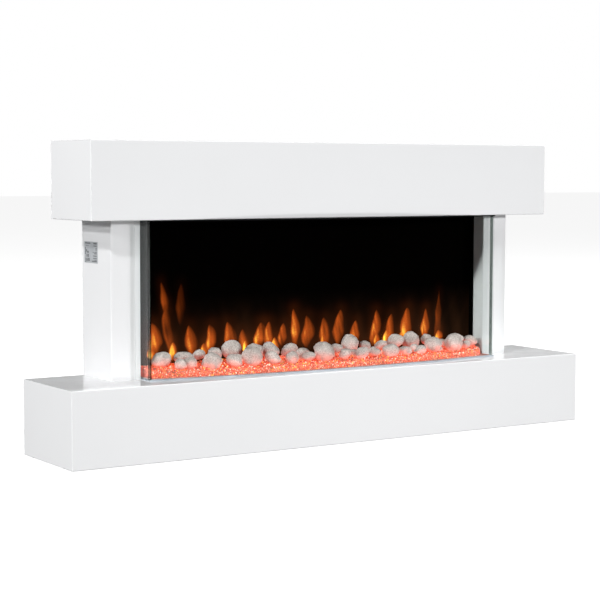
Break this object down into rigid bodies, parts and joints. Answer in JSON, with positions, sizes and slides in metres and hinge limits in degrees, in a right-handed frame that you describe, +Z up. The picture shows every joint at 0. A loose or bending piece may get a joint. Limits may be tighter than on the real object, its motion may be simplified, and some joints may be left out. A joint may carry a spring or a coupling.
{
  "type": "electric fireplace",
  "caption": "Wall-hung electric fireplace suite with a white mantel box and base box, short pillars, a bow-fronted glass and pebbles on glowing crystals in front of a flame picture.",
  "frame": {"origin": "middle of the underside of the base", "axes": "+X along the width, to the right seen from the room; +Y towards the wall; +Z up"},
  "size_m": [1.2, 0.216, 0.596],
  "materials": {
    "white_board": "gloss white lacquer on fibreboard",
    "bare_wood": "bare fibreboard and softwood",
    "zinc_steel": "bright zinc plate",
    "label_foil": "matt silver foil, unmarked",
    "black_sheet": "matt black stove paint",
    "clear_glass": "clear polished",
    "black_channel": "satin black",
    "bright_channel": "satin anodised",
    "edge_seal": "smoky translucent silicone",
    "tray_plastic": "frosted acrylic, lit coral red by the lights under it",
    "crystals": "crushed, lit from below",
    "pebble_stone": "matt, lightly pitted",
    "circuit_board": "green solder mask",
    "flame_picture": "smoked acrylic with the flame picture",
    "bright_sheet": "bright rolled",
    "bronze": "sintered bronze",
    "motor_black": "satin black",
    "black_plastic": "fine moulded grain",
    "button_grey": "smooth"
  },
  "bodies": {
    "fireplace": {"mantel_top": "white_board", "mantel_front": "white_board", "mantel_left_end": "white_board", "mantel_right_end": "white_board", "mantel_underside": "white_board", "left_pillar_front": "white_board", "left_pillar_outer_side": "white_board", "left_pillar_inner_side": "white_board", "right_pillar_front": "white_board", "right_pillar_outer_side": "white_board", "right_pillar_inner_side": "white_board", "base_top": "white_board", "base_front": "white_board", "base_left_end": "white_board", "base_right_end": "white_board", "base_underside": "white_board", "mantel_back_rail": "bare_wood", "base_back": "bare_wood", "pillar_blocks": "bare_wood", "corner_blocks": "bare_wood", "assembly_screws": "zinc_steel", "wall_bracket": "zinc_steel", "hanging_hooks": "zinc_steel", "rotor_brackets": "zinc_steel", "heater_housing": "zinc_steel", "rating_label": "label_foil", "firebox_back": "black_sheet", "firebox_left_side": "black_sheet", "firebox_right_side": "black_sheet", "firebox_top": "black_sheet", "front_glass": "clear_glass", "left_glass": "clear_glass", "right_glass": "clear_glass", "glass_top_channel": "black_channel", "glass_bottom_channel": "bright_channel", "corner_seals": "edge_seal", "ember_tray": "tray_plastic", "crystal_bed": "crystals", "pebbles": "pebble_stone", "ember_led_board": "circuit_board", "flame_led_board": "circuit_board", "power_board": "circuit_board", "switch_board": "circuit_board", "flame_screen": "flame_picture", "flame_mask": "bright_sheet", "heating_element": "bright_sheet", "shaft_bushes": "bronze", "rotor_motor": "motor_black", "fan_motor": "motor_black", "thermal_cutout": "motor_black", "outlet_grille": "black_plastic", "intake_grille": "black_plastic", "mains_gland": "black_plastic", "control_plate": "black_plastic"},
    "flame_rotor": {"flame_rotor": "bright_sheet"},
    "fan_impeller": {"fan_impeller": "bright_sheet"},
    "power_rocker": {"power_rocker": "black_plastic"},
    "flame_button": {"flame_button": "button_grey"},
    "ember_button": {"ember_button": "button_grey"},
    "heat_button": {"heat_button": "button_grey"}
  },
  "joints": [
    {"name": "flame_rotor_spin", "type": "hinge", "parent": "fireplace", "child": "flame_rotor", "pos_m": [0, 0.076, 0.185], "axis": [1, 0, 0], "continuous": true},
    {"name": "fan_spin", "type": "hinge", "parent": "fireplace", "child": "fan_impeller", "pos_m": [0, -0.005, 0.08], "axis": [1, 0, 0], "continuous": true},
    {"name": "power_rocker_tilt", "type": "hinge", "parent": "fireplace", "child": "power_rocker", "pos_m": [0.472, 0.05, 0.412], "axis": [0, -1, 0], "range_deg": [0, 16]},
    {"name": "flame_button_press", "type": "slide", "parent": "fireplace", "child": "flame_button", "axis": [-1, 0, 0], "range_m": [0, 0.0012], "stiffness_N_per_m": 600, "springref_m": -0.0005},
    {"name": "ember_button_press", "type": "slide", "parent": "fireplace", "child": "ember_button", "axis": [-1, 0, 0], "range_m": [0, 0.0012], "stiffness_N_per_m": 600, "springref_m": -0.0005},
    {"name": "heat_button_press", "type": "slide", "parent": "fireplace", "child": "heat_button", "axis": [-1, 0, 0], "range_m": [0, 0.0012], "stiffness_N_per_m": 600, "springref_m": -0.0005}
  ]
}
